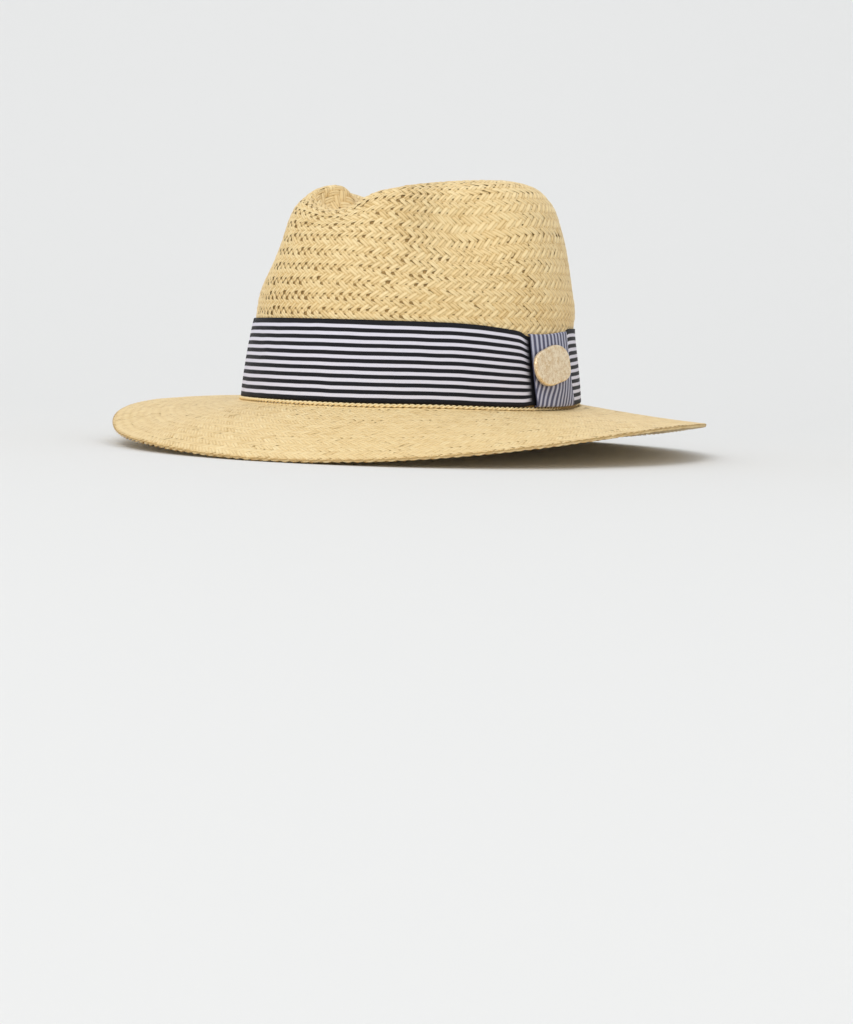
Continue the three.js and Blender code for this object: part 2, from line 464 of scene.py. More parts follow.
@dataclass
class HatForm:
    """Every face of the hat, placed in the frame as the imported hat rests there."""

    block: Block = field(default_factory=Block)
    brim: BrimForm = field(default_factory=BrimForm)
    gather: Gather = field(default_factory=Gather)
    wall: float = 2
    band_low: float = 1.4
    band_high: float = 41.6
    flat_top: Span = (1.0, 4.0)
    hoop_sides: int = 64
    hoop_steps: int = 8
    rest: Matrix = field(init=False)

    def __post_init__(self) -> None:
        """Tips the hat on to its brim and fits the brim to the frame's box."""
        length = 2 * (self.block.foot * self.block.oval_ratio + self.brim.width)
        tip = math.atan2(self.brim.front - self.brim.back, length)
        self.rest = Matrix.Rotation(-tip, 4, "X")
        angle, along = np.meshgrid(
            np.linspace(0, TURN, self.hoop_sides, endpoint=False),
            np.linspace(0, self.brim.width, self.hoop_steps),
        )
        level = np.zeros_like(angle)
        faces = [self.brim_upper(angle, along, level - below) for below in (0, self.wall)]
        mine = np.concatenate(faces).reshape(-1, 3)
        low, high = (np.array(corner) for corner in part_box("brim"))
        shift = (low + high - mine.min(0) - mine.max(0)) / 2
        shift[2] = low[2] - mine[:, 2].min()
        self.rest = Matrix.Translation(Vector(shift)) @ self.rest

    def in_frame(self, points: Array) -> Array:
        """Points of the form, in millimetres, put into the frame in metres."""
        turn = np.array(self.rest.to_3x3())
        return points * MM @ turn.T + np.array(self.rest.translation)

    def crown_face(self, angle: Array, along: Array, out: Array) -> Array:
        """Form points some way out from the crown's outer face.

        Args:
            angle: Angles from the front.
            along: Lengths up the profile.
            out: Distances out from the face.

        Returns:
            Points in millimetres, with the unevenness of the blocking.
        """
        point = self.block.point
        across = point(angle + NUDGE, along) - point(angle - NUDGE, along)
        up = point(angle, along + NUDGE) - point(angle, along - NUDGE)
        sloping = smooth(self.block.half_width(along), *self.flat_top)[..., None]
        normal = unit(blend(np.array([0.0, 0.0, 1.0]), unit(np.cross(across, up)), sloping))
        out = out + self.block.uneven(angle, along)
        return point(angle, along) + normal * out[..., None]

    def crown_outer(self, angle: Array, along: Array, out: Array) -> Array:
        """The crown's outer face, seen from outside."""
        return self.in_frame(self.crown_face(angle, along, out))

    def crown_inner(self, angle: Array, along: Array, out: Array) -> Array:
        """The crown's inner face, seen from inside: the angle runs backwards."""
        return self.in_frame(self.crown_face(-angle, along, -self.wall - out))

    def brim_face(self, angle: Array, along: Array, out: Array) -> Array:
        """Form points some way above the brim's upper face.

        Args:
            angle: Angles from the front.
            along: Lengths out from the crown's foot.
            out: Distances above the face.

        Returns:
            Points in millimetres.
        """
        block, point = self.block, self.brim.point
        held = np.maximum(along, 2 * NUDGE)
        across = point(block, angle + NUDGE, held) - point(block, angle - NUDGE, held)
        away = point(block, angle, held + NUDGE) - point(block, angle, held - NUDGE)
        normal = unit(np.cross(away, across))
        return point(block, angle, along) + normal * out[..., None]

    def brim_upper(self, angle: Array, along: Array, out: Array) -> Array:
        """The brim's upper face, seen from above: along runs in from its edge."""
        return self.in_frame(self.brim_face(angle, self.brim.width - along, out))

    def brim_under(self, angle: Array, along: Array, out: Array) -> Array:
        """The brim's under face, seen from below: along runs out from the crown's foot."""
        return self.in_frame(self.brim_face(angle, along, -self.wall - out))

    def ribbon(self, angle: Array, height: Array, out: Array) -> Array:
        """Points on and off the crown's wall, where the band is gathered and sways.

        Args:
            angle: Angles from the front.
            height: Heights up the ribbon, as if it were not gathered.
            out: Distances out from the wall.

        Returns:
            Points in the frame.
        """
        width = self.band_high - self.band_low
        kept = self.gather.shrink(angle, width)
        part = np.clip((height - self.band_low) / width, 0, 1)
        foot = self.brim.sway(angle, 0) * (1 - part)
        along = self.block.along_at(self.band_low + (height - self.band_low) * kept + foot)
        return self.in_frame(self.crown_face(angle, along, out))


# --- Mesh helpers -------------------------------------------------------------------


def finished(name: str, bm: bmesh.types.BMesh) -> bpy.types.Object:
    """Turns a bmesh into a smooth-shaded object.

    Args:
        name: The piece's name.
        bm: The shape, which is freed.

    Returns:
        The new object, linked into the scene.
    """
    mesh = bpy.data.meshes.new(name)
    bm.to_mesh(mesh)
    bm.free()
    mesh.polygons.foreach_set("use_smooth", np.ones(len(mesh.polygons), bool))
    piece = bpy.data.objects.new(name, mesh)
    bpy.context.scene.collection.objects.link(piece)
    return piece


def spots_of(mesh: bpy.types.Mesh) -> Array:
    """The mesh's vertices.

    Args:
        mesh: The mesh to read.

    Returns:
        One point for each vertex.
    """
    spots = np.empty(len(mesh.vertices) * 3)
    mesh.vertices.foreach_get("co", spots)
    return spots.reshape(-1, 3)


def move_spots(mesh: bpy.types.Mesh, points: Array) -> None:
    """Puts the mesh's vertices at new points."""
    mesh.vertices.foreach_set("co", points.reshape(-1))
    mesh.update()


def mark(mesh: bpy.types.Mesh, name: str, values: Array) -> None:
    """Stores a number or a vector for each vertex.

    Args:
        mesh: The mesh to mark.
        name: The attribute's name, which its finish reads.
        values: One number, or one point, for each vertex.
    """
    vector = values.ndim == 2
    made = mesh.attributes.new(name, "FLOAT_VECTOR" if vector else "FLOAT", "POINT")
    made.data.foreach_set("vector" if vector else "value", values.astype(np.float32).reshape(-1))


def grid_object(name: str, u_steps: int, v_steps: int) -> bpy.types.Object:
    """A flat grid whose vertices run from 0 to 1 both ways.

    Args:
        name: The piece's name.
        u_steps: How many faces it has one way.
        v_steps: How many it has the other way.

    Returns:
        The new object.
    """
    bm = bmesh.new()
    bmesh.ops.create_grid(bm, x_segments=u_steps, y_segments=v_steps, size=0.5)
    bmesh.ops.translate(bm, verts=bm.verts, vec=(0.5, 0.5, 0))
    return finished(name, bm)


def close_seams(mesh: bpy.types.Mesh) -> None:
    """Joins vertices that lie within a thousandth of a millimetre of each other.

    Args:
        mesh: The mesh to close.
    """
    bm = bmesh.new()
    bm.from_mesh(mesh)
    bmesh.ops.remove_doubles(bm, verts=bm.verts, dist=0.001 * MM)
    bm.to_mesh(mesh)
    bm.free()


def thicken(piece: bpy.types.Object, wall: float) -> None:
    """Gives an open skin a wall, inward from its face.

    Args:
        piece: The skin.
        wall: The wall's thickness in millimetres.
    """
    solidify = piece.modifiers.new("Wall", "SOLIDIFY")
    solidify.thickness = wall * MM
    solidify.offset = -1
    solidify.use_even_offset = True


def dress(piece: bpy.types.Object, finish: bpy.types.Material, node: str) -> None:
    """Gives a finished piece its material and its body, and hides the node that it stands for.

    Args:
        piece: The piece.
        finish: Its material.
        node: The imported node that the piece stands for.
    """
    piece.data.materials.append(finish)
    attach(piece, "root")
    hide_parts(node)
    LOG.info("%s: %d faces", piece.name, len(piece.data.polygons))


# --- Shader helpers -----------------------------------------------------------------


class Value:
    """A number socket that Python's operators work on."""

    def __init__(self, graph: Graph, socket: bpy.types.NodeSocket) -> None:
        """Wraps a socket of a graph."""
        self.graph = graph
        self.socket = socket

    def _math(self, operation: str, *terms: Value | float) -> Value:
        """Adds a Math node over some terms."""
        settings = {"operation": operation}
        return self.graph.node("ShaderNodeMath", settings, dict(enumerate(terms)))

    def __add__(self, other: Value | float) -> Value:
        """The sum."""
        return self._math("ADD", self, other)

    __radd__ = __add__

    def __sub__(self, other: Value | float) -> Value:
        """The difference."""
        return self._math("SUBTRACT", self, other)

    def __rsub__(self, other: Value | float) -> Value:
        """The difference, from a plain number."""
        return self._math("SUBTRACT", other, self)

    def __mul__(self, other: Value | float) -> Value:
        """The product."""
        return self._math("MULTIPLY", self, other)

    __rmul__ = __mul__

    def __truediv__(self, other: Value | float) -> Value:
        """The quotient."""
        return self._math("DIVIDE", self, other)

    def __abs__(self) -> Value:
        """The size without its sign."""
        return self._math("ABSOLUTE", self)

    def fraction(self) -> Value:
        """What is left over from whole numbers."""
        return self._math("FRACT", self)

    def sine(self) -> Value:
        """The sine."""
        return self._math("SINE", self)

    def most(self, other: Value | float) -> Value:
        """The larger of two values."""
        return self._math("MAXIMUM", self, other)

    def step(self, low: float, high: float) -> Value:
        """A soft step from 0 to 1.

        Args:
            low: Where the step is 0, which may be the larger of the two.
            high: Where it is 1.

        Returns:
            The step.
        """
        return self.graph.node(
            "ShaderNodeMapRange",
            {"interpolation_type": "SMOOTHSTEP"},
            {"Value": self, "From Min": low, "From Max": high},
        )


class Graph:
    """A material's node tree, whose surface is one Principled shader."""

    def __init__(self, name: str) -> None:
        """Makes an empty material.

        Args:
            name: The material's name.
        """
        self.material = bpy.data.materials.new(name)
        self.material.use_nodes = True
        self.tree = self.material.node_tree
        self.tree.nodes.clear()

    def node(
        self,
        kind: str,
        settings: dict[str, Any] | None = None,
        inputs: dict[str | int, Any] | None = None,
        output: int | str = 0,
    ) -> Value:
        """Adds a node.

        Args:
            kind: The node's type.
            settings: Its own settings, such as an operation, which are set first.
            inputs: Numbers, colours or links for its sockets, by name or place.
            output: The output that is wanted.

        Returns:
            That output.
        """
        made = self.tree.nodes.new(kind)
        for key, setting in (settings or {}).items():
            setattr(made, key, setting)
        for key, given in (inputs or {}).items():
            if isinstance(given, Value):
                self.tree.links.new(given.socket, made.inputs[key])
            else:
                made.inputs[key].default_value = given
        return Value(self, made.outputs[output])

    def attribute(self, name: str, output: str = "Fac") -> Value:
        """Reads a mark that the mesh carries."""
        return self.node("ShaderNodeAttribute", {"attribute_name": name}, output=output)

    def parts(self, vector: Value) -> tuple[Value, Value, Value]:
        """A vector's three numbers."""
        made = self.node("ShaderNodeSeparateXYZ", inputs={0: vector}).socket.node
        return tuple(Value(self, socket) for socket in made.outputs)

    def place(self) -> Value:
        """Where a point lies on the piece."""
        return self.node("ShaderNodeTexCoord", output="Object")

    def scaled(self, numbers: Sequence[Value], scales: Sequence[float]) -> Value:
        """Numbers made one vector, each by its own scale."""
        scaled = (number * scale for number, scale in zip(numbers, scales))
        return self.node("ShaderNodeCombineXYZ", inputs=dict(enumerate(scaled)))

    def noise(self, vector: Value, scale: float = 1, detail: float = 2) -> Value:
        """Smooth noise between 0 and 1."""
        inputs = {"Vector": vector, "Scale": scale, "Detail": detail}
        return self.node("ShaderNodeTexNoise", inputs=inputs)

    def mix(self, factor: Value, low: Value | Tint, high: Value | Tint) -> Value:
        """Mixes two colours by a factor."""
        colours = {0: factor, 6: low, 7: high}
        return self.node("ShaderNodeMix", {"data_type": "RGBA"}, colours, output=2)

    def bump(self, height: Value, distance: float) -> Value:
        """A normal bumped by a height, in millimetres."""
        inputs = {"Height": height, "Distance": distance * MM, "Strength": 1.0}
        return self.node("ShaderNodeBump", inputs=inputs)

    def surface(self, **inputs: Value | Tint | float) -> bpy.types.Material:
        """Ends the graph in a Principled shader.

        Args:
            inputs: Its sockets, with underscores for the spaces in their names.

        Returns:
            The material.
        """
        named = {key.replace("_", " "): given for key, given in inputs.items()}
        shader = self.node("ShaderNodeBsdfPrincipled", inputs=named)
        output = self.tree.nodes.new("ShaderNodeOutputMaterial")
        self.tree.links.new(shader.socket, output.inputs["Surface"])
        return self.material


def daylight(red: int, green: int, blue: int) -> Tint:
    """A colour as a screen shows it, turned into the light that a shader works in.

    Args:
        red: The red channel, from 0 to 255.
        green: The green channel.
        blue: The blue channel.

    Returns:
        Red, green and blue light, and a full alpha.
    """
    light = []
    for part in (red / 255, green / 255, blue / 255):
        light.append(part / 12.92 if part <= 0.04045 else ((part + 0.055) / 1.055) ** 2.4)
    return (*light, 1.0)


# --- Finishes -----------------------------------------------------------------------


@dataclass(frozen=True)
class StrawFinish:
    """Split straw, each float a pair with its own tone, fine fibres and painted shade at its
    edges.
    """

    name: str
    pale: Tint = daylight(250, 227, 174)
    mid: Tint = daylight(238, 209, 151)
    deep: Tint = daylight(210, 174, 110)
    variety: float = 1
    edge_shade: float = 0.3
    split: float = 0.34
    level: float = 0.68
    fibre_scales: Triple = (0.35, 4.5, 40)
    fibre_share: float = 0.5
    fibre_depth: float = 0.05
    blotch_scales: Triple = (0.5, 0.6, 90)
    blotch_share: float = 0.45
    sun_scale: float = 14
    sun_share: float = 0.25
    side_shade_span: Span = (0.6, 1.4)
    end_shade_span: Span = (1.3, 2.8)
    end_shade_share: float = 0.7
    parting_line: Span = (0.42, 0.08)
    parting_drift: float = 0.3
    parting_depth: float = 4
    deep_to_mid: Span = (0.0, 0.55)
    mid_to_pale: Span = (0.45, 1.0)
    roughness: float = 0.52
    gloss_spread: float = 0.3

    def material(self) -> bpy.types.Material:
        """Builds the straw's material.

        Returns:
            The material, which reads the marks that a weave or a cord carries.
        """
        graph = Graph(self.name)
        tone = graph.attribute("tone")
        straw = graph.parts(graph.attribute("straw", "Vector"))
        run, across, seed = straw
        fibres = graph.noise(graph.scaled(straw, self.fibre_scales), detail=3)
        blotch = graph.noise(graph.scaled(straw, self.blotch_scales))
        sun = graph.noise(graph.place(), self.sun_scale)
        shade = tone - 0.5 + (fibres - 0.5) * self.fibre_share
        shade = shade + (blotch - 0.5) * self.blotch_share + (sun - 0.5) * self.sun_share
        # Painted shade: the colour darkens towards each float's sides and ends, where the floats
        # meet.
        edge_shade_mask = abs(across).step(*self.side_shade_span) + abs(run).step(*self.end_shade_span) * self.end_shade_share
        parting = abs(across + (seed - 0.5) * self.parting_drift).step(*self.parting_line)
        shade = self.level + shade * self.variety - edge_shade_mask * self.edge_shade - parting * self.split
        lower = graph.mix(shade.step(*self.deep_to_mid), self.deep, self.mid)
        return graph.surface(
            Base_Color=graph.mix(shade.step(*self.mid_to_pale), lower, self.pale),
            Roughness=self.roughness + (fibres - 0.5) * self.gloss_spread,
            Normal=graph.bump(fibres - parting * self.parting_depth, self.fibre_depth),
        )


@dataclass(frozen=True)
class ShadowStrawFinish:
    """The straws that run under the floats, seen only through the gaps and darkened as painted
    shade.
    """

    name: str
    # Darker than the floats' straw: painted shade in the gaps.
    light: Tint = daylight(190, 155, 95)
    dark: Tint = daylight(140, 108, 58)
    grain_scale: float = 900
    relief: float = 0.2
    roughness: float = 0.8

    def material(self) -> bpy.types.Material:
        """Builds the material of the weave's depth.

        Returns:
            The material.
        """
        graph = Graph(self.name)
        grain = graph.noise(graph.place(), self.grain_scale)
        return graph.surface(
            Base_Color=graph.mix(grain, self.dark, self.light),
            Roughness=self.roughness,
            Normal=graph.bump(grain, self.relief),
        )


@dataclass(frozen=True)
class RibbonFinish:
    """A repp ribbon with narrow dark and white stripes and dark edges.

    Shares are parts of the ribbon's width, and the last stripe is cut short by its edge.
    """

    name: str
    width: float = 40
    white: Tint = daylight(232, 230, 242)
    thread: Tint = daylight(214, 212, 226)
    dark: Tint = daylight(12, 12, 20)
    stripes: int = 11
    stripe_cut: float = 0.7
    dark_share: float = 0.55
    softness: float = 0.05
    first_line: float = 0.033
    edge_share: float = 0.022
    edge_softness: float = 1.5
    waver: float = 0.018
    waver_scales: Span = (0.035, 1.5)
    thread_scale: float = 3
    rib_pitch: float = 0.55
    rib_share: float = 0.5
    relief: float = 0.06
    roughness: float = 0.62
    gloss_spread: float = 0.2
    gloss: float = 0.25

    def material(self) -> bpy.types.Material:
        """Builds the ribbon's material.

        Returns:
            The material, which reads the marks that a ribbon carries.
        """
        graph = Graph(self.name)
        run, across, side = graph.parts(graph.attribute("ribbon", "Vector"))
        waver = graph.noise(graph.scaled((run, across), self.waver_scales))
        place = across + (waver - 0.5) * self.waver
        pitch = (1 - 2 * self.edge_share) / (self.stripes - self.stripe_cut)
        phase = (place - self.first_line) / pitch
        off = abs((phase + 0.5).fraction() - 0.5)
        half = self.dark_share / 2
        line = off.step(half + self.softness, half - self.softness)
        soft_edge = self.edge_share * self.edge_softness
        edge = abs(side - 0.5).step(0.5 - soft_edge, 0.5 - self.edge_share)
        # The "shade" mark darkens the ribbon as painted shade.
        dark = line.most(edge).most(graph.attribute("shade"))
        rib = (run * (TURN / self.rib_pitch)).sine()
        thread = graph.noise(graph.scaled((run, across * self.width), (self.thread_scale,) * 2))
        white = graph.mix(thread, self.white, self.thread)
        return graph.surface(
            Base_Color=graph.mix(dark, white, self.dark),
            Roughness=self.roughness + (thread - 0.5) * self.gloss_spread,
            Normal=graph.bump(rib * self.rib_share + thread, self.relief),
            Specular_IOR_Level=self.gloss,
        )


@dataclass(frozen=True)
class BadgeFinish:
    """Pale gold metal with a satin, softly hammered face."""

    name: str
    colour: Tint = daylight(250, 232, 200)
    tarnish: Tint = daylight(224, 194, 148)
    tarnish_step: Span = (0.8, 1.25)
    grain_scale: float = 1400
    grain_share: float = 0.3
    dent_scale: float = 420
    relief: float = 0.45
    metal: float = 0.6
    roughness: float = 0.34
    gloss_spread: float = 0.25

    def material(self) -> bpy.types.Material:
        """Builds the badge's material.

        Returns:
            The material.
        """
        graph = Graph(self.name)
        place = graph.place()
        grain = graph.noise(place, self.grain_scale, detail=3)
        dents = graph.noise(place, self.dent_scale)
        tarnished = (grain + dents).step(*self.tarnish_step)
        return graph.surface(
            Base_Color=graph.mix(tarnished, self.colour, self.tarnish),
            Metallic=self.metal,
            Roughness=self.roughness + (grain - 0.5) * self.gloss_spread,
            Normal=graph.bump(grain * self.grain_share + dents, self.relief),
        )


@dataclass(frozen=True)
class StudioFinish:
    """A matt pale floor that runs up into the backdrop."""

    name: str = "Studio"
    colour: Tint = daylight(231, 231, 229)
    roughness: float = 0.9

    def material(self) -> bpy.types.Material:
        """Builds the floor's material."""
        return Graph(self.name).surface(Base_Color=self.colour, Roughness=self.roughness)


# --- Straw --------------------------------------------------------------------------


class Lean(IntEnum):
    """Which way the straws of a row lean as they rise."""

    LEFT = -1
    RIGHT = 1


class Row(NamedTuple):
    """One row of floats: its place along the face, its count, its lean and its number."""

    along: float
    columns: int
    leaning: Lean
    number: int


@dataclass(frozen=True)
class Twill:
    """A twill of slanting straws, each over two and under two.

    What shows is rows of flat floats that lean one way and then the other. Every other
    line between the rows is open: the straws part there and leave round holes, each of
    which lies beside one float and bites the corners of two more.

    Stations and lanes are places along and across a float, from its middle. A spread is
    the usual size of the small differences between floats. A row has foot_columns floats
    at the crown's foot, and the count changes by the ratio increase.
    """

    pitch: float = 3.82
    stretch: float = 1.25
    half_width: float = 1.4
    stations: tuple[float, ...] = (-3.15, -2.55, -1.8, -0.9, 0, 0.9, 2.3, 3.15)
    lanes: tuple[float, ...] = (-1, -0.55, 0.55, 1)
    slope: float = 45
    edge_drop: float = 0.34
    swell: float = 0.1
    tuck: float = 0.7
    tuck_run: Span = (2.0, 3.2)
    tuck_hole: Span = (0.4, 0.6)
    ruffle: float = 1
    lift_spread: float = 0.05
    roll_spread: float = 0.06
    place_spread: float = 0.06
    slope_spread: float = 0.025
    hole_shift: float = 0.28
    hole_spread: float = 0.19
    hole_limit: float = 0.95
    least_width: float = 0.75
    straws: int = 4096
    straw_widths: Span = (0.94, 1.05)
    straw_tone: float = 0.075
    float_tone: float = 0.05
    foot_columns: int = 150
    least_columns: int = 5
    increase: float = 1.16

    def columns(self, girth: float) -> int:
        """How many floats go round: the count changes only now and then.

        Args:
            girth: The way round.

        Returns:
            The count.
        """
        ratio = girth / (self.pitch * self.stretch * self.foot_columns)
        rung = round(math.log(max(ratio, 1e-3)) / math.log(self.increase))
        return max(round(self.foot_columns * self.increase**rung), self.least_columns)

    def rows(self, start: float, end: float, girth: Callable[[float], float]) -> list[Row]:
        """Lists the rows of a stretch, which come in pairs of one count.

        Args:
            start: The length along the face where the rows start.
            end: Where they end.
            girth: The way round the face at a length along it.

        Returns:
            The rows in order.
        """
        count = round((end - start) / self.pitch)
        step = (end - start) / count
        rows = []
        for number in range(count):
            pair_middle = start + min(2 * (number // 2) + 1, count - 0.5) * step
            columns = self.columns(girth(pair_middle))
            leaning = Lean.RIGHT if number % 2 else Lean.LEFT
            rows.append(Row(start + (number + 0.5) * step, columns, leaning, number))
        return rows

    def heap(self, name: str, count: int) -> bpy.types.Object:
        """A pile of flat floats, all alike and in one place.

        Args:
            name: The piece's name.
            count: How many floats it has.

        Returns:
            The new object.
        """
        bm = bmesh.new()
        across, along = len(self.lanes) - 1, len(self.stations) - 1
        bmesh.ops.create_grid(bm, x_segments=along, y_segments=across, size=1)
        parts = [len(kind) for kind in (bm.verts, bm.edges, bm.faces)]
        made = 1
        while made < count:
            more = min(made, count - made)
            chosen = []
            for kind, size in zip((bm.verts, bm.edges, bm.faces), parts):
                kind.ensure_lookup_table()
                chosen += kind[: more * size]
            bmesh.ops.duplicate(bm, geom=chosen)
            made += more
        return finished(name, bm)

    def holes(
        self, rows: Sequence[Row], slack: Slack, rng: np.random.Generator
    ) -> list[tuple[Array, Array, Array]]:
        """Sizes the holes that each float meets.

        Args:
            rows: The rows of floats.
            slack: Takes angles and a length along to the holes' usual radius there.
            rng: Where the differences between holes come from.

        Returns:
            For each row, the radii beside each float and at its two open corners.
        """
        beside = []
        for row in rows:
            angle = TURN * (np.arange(row.columns) + 0.5 * (row.number % 2)) / row.columns
            radius = slack(angle, row.along) + self.hole_spread * rng.normal(0, 1, row.columns)
            beside.append(np.clip(radius, 0, self.hole_limit))
        sizes = []
        for row, own in zip(rows, beside):
            partner = row.number - row.leaning
            met = 0 * own
            if 0 <= partner < len(rows):
                met = np.roll(beside[partner], 0 if row.leaning is Lean.RIGHT else 1)
            sizes.append((own, np.roll(own, 1), met))
        return sizes

    @staticmethod
    def bitten(edge: Array, run: Array, hole_run: float, hole_side: float, radius: Array) -> Array:
        """A float's edge where a round hole bites it.

        Args:
            edge: How far the edge is from the middle line.
            run: Places along the float.
            hole_run: The hole's place along the float.
            hole_side: The hole's distance from the middle line.
            radius: The hole's radius.

        Returns:
            The edge's new distance.
        """
        chord = np.sqrt(np.maximum(radius**2 - (run - hole_run) ** 2, 0))
        bitten = np.minimum(edge, hole_side - chord)
        return np.where(np.abs(run - hole_run) < radius, bitten, edge)

    def lay(
        self,
        name: str,
        surface: Surface,
        rows: Sequence[Row],
        slack: Slack,
        seed: int,
    ) -> bpy.types.Object:
        """Weaves rows of floats over a surface.

        Args:
            name: The piece's name.
            surface: Takes angles, lengths along and heights out to points.
            rows: The rows to weave.
            slack: Takes angles and a length along to the holes' usual radius there.
            seed: What the small differences between straws start from.

        Returns:
            The woven piece, marked with each straw's tone and its own coordinates.
        """
        rng = np.random.default_rng(seed)
        radii = zip(*self.holes(rows, slack, rng))
        own_hole, left_hole, cross_hole = (np.concatenate(part)[:, None] for part in radii)
        which = np.concatenate([np.full(row.columns, index) for index, row in enumerate(rows)])
        column = np.concatenate([np.arange(row.columns) for row in rows])
        along, columns, leaning, number = (np.array(part, float)[which] for part in zip(*rows))
        count = len(which)

        piece = self.heap(name, count)
        flat = (spots_of(piece.data).reshape(count, -1, 3) + 1) / 2
        run, lane = (
            np.interp(flat[..., axis], np.linspace(0, 1, len(stops)), stops)
            for axis, stops in enumerate((self.stations, self.lanes))
        )

        # A straw keeps its key from row to row, so its floats share a tone and a width.
        straw = (column - leaning * number) % columns
        key = (straw * 3 + columns * 7 + leaning * 3).astype(int) % self.straws
        straw_tone = rng.normal(0, 1, self.straws)[key][:, None]
        straw_width = rng.uniform(*self.straw_widths, self.straws)[key][:, None]
        differences = np.moveaxis(rng.normal(0, 1, (count, 6)), 1, 0)[..., None]
        shade, roll, swing, aside, ahead, lift = differences

        spacing, shift = self.pitch / math.sqrt(2), self.hole_shift
        width = self.half_width * straw_width + 0 * run
        right = self.bitten(width, run, shift, spacing / 2 - shift, own_hole)
        right = self.bitten(right, run, -spacing - shift, spacing / 2 + shift, cross_hole)
        left = -self.bitten(width, run, shift - spacing, spacing / 2 + shift, left_hole)
        right = np.maximum(right, left + self.least_width)
        # A straw that leans to the right has its right-hand side below it.
        side = blend(left, right, (lane + 1) / 2)
        upward = -leaning[:, None] * side

        slope = math.radians(self.slope) * leaning[:, None] + self.slope_spread * swing
        x = run * np.cos(slope) - upward * np.sin(slope) + self.place_spread * aside
        y = run * np.sin(slope) + upward * np.cos(slope) + self.place_spread * ahead
        place = column + 0.5 * (number % 2)
        angle = TURN * (place[:, None] + x / self.pitch) / columns[:, None]

        least, most = self.tuck_hole
        tuck = self.tuck * (least + np.minimum(own_hole, most))
        height = -self.edge_drop * np.abs(lane) ** 4 - self.swell * (run / spacing) ** 2
        height = height - tuck * smooth(np.abs(run), *self.tuck_run)
        ruffle = self.lift_spread * lift + self.roll_spread * roll * lane
        height = height + self.ruffle * ruffle
        move_spots(piece.data, surface(angle, along[:, None] + y, height))

        tone = 0.5 + self.straw_tone * straw_tone + self.float_tone * shade + 0 * run
        mark(piece.data, "tone", tone.reshape(-1))
        seeds = (key[:, None] / self.straws + 0 * run).reshape(-1)
        mark(piece.data, "straw", stacked(run.reshape(-1), side.reshape(-1), seeds))
        return piece


@dataclass(frozen=True)
class TwistedCord:
    """Straws twisted into a cord that runs right round the hat.

    Its thickness and its tone drift between places that are spread evenly along it.
    """

    plies: int = 2
    ply_radius: float = 0.62
    ply_offset: float = 0.52
    lay_length: float = 6.0
    steps_per_turn: int = 14
    sides: int = 8
    thick_places: int = 400
    thick_spread: float = 0.08
    tone: float = 0.62
    tone_places: int = 300
    tone_spread: float = 0.12
    ply_tone: float = 0.1

    def make(
        self, name: str, route: Callable[[Array], Directed], girth: float, seed: int
    ) -> bpy.types.Object:
        """Twists the cord along a closed route.

        Args:
            name: The piece's name.
            route: Takes angles to centres, outward directions and upward directions.
            girth: The route's length.
            seed: What the plies' small differences start from.

        Returns:
            The cord, marked as straw is.
        """
        rng = np.random.default_rng(seed)
        turns = round(girth / self.lay_length)
        steps = turns * self.steps_per_turn
        bm = bmesh.new()
        for ply in range(self.plies):
            made = bmesh.ops.create_grid(bm, x_segments=steps, y_segments=self.sides, size=0.5)
            bmesh.ops.translate(bm, verts=made["verts"], vec=(0.5, 0.5, ply))
        piece = finished(name, bm)
        run, side, ply = spots_of(piece.data).T
        ply = np.round(ply)
        centre, outward, upward = route(TURN * (run + 0.5))
        thick = np.interp(
            run * self.thick_places % self.thick_places,
            np.arange(self.thick_places + 1),
            rng.normal(0, 1, self.thick_places + 1),
        )
        twist = TURN * (turns * run + ply / self.plies)
        away = outward * np.cos(twist)[:, None] + upward * np.sin(twist)[:, None]
        level = -outward * np.sin(twist)[:, None] + upward * np.cos(twist)[:, None]
        around = TURN * side
        ring = away * np.cos(around)[:, None] + level * np.sin(around)[:, None]
        radius = self.ply_radius * (1 + self.thick_spread * thick)
        points = centre + away * (self.ply_offset * MM) + ring * (radius * MM)[:, None]
        move_spots(piece.data, points)
        places = np.arange(self.tone_places + 1)
        wisp = np.interp(run * self.tone_places, places, rng.normal(0, 1, len(places)))
        mark(piece.data, "tone", self.tone + self.tone_spread * wisp + self.ply_tone * ply)
        mark(piece.data, "straw", stacked(run * girth, side * 2, ply + 0.5))
        close_seams(piece.data)
        return piece


@dataclass(frozen=True)
class CrownSlack:
    """How open the crown's weave is: loosest in front and high up, close on the nose."""

    mean: float = 0.18
    front: float = 0.46
    front_angle: float = -10
    rise: float = 0.15
    drift: float = 0.12
    drift_waves: tuple[Triple, ...] = ((3, 9, 0), (5, -14, 1))
    nose: float = 0.8
    nose_angle: float = -30
    nose_span: float = 35
    nose_along: Span = (112, 120)

    def at(self, angle: Array, along: float, length: float) -> Array:
        """The usual radius of a hole.

        Args:
            angle: Angles from the front.
            along: A length up the profile.
            length: The whole length of the profile.

        Returns:
            Radii, which may fall below 0 where the weave is closed.
        """
        turn = np.cos(angle - math.radians(self.front_angle))
        rise = along / length
        drift = self.drift
        for around, upward, start in self.drift_waves:
            drift = drift * np.sin(around * angle + upward * rise + start)
        nose = self.nose * hump(angle, self.nose_angle, self.nose_span)
        closed = nose * smooth(along, *self.nose_along)
        open_part = self.mean + self.front * turn + drift
        return open_part + self.rise * (rise - 0.5) - closed


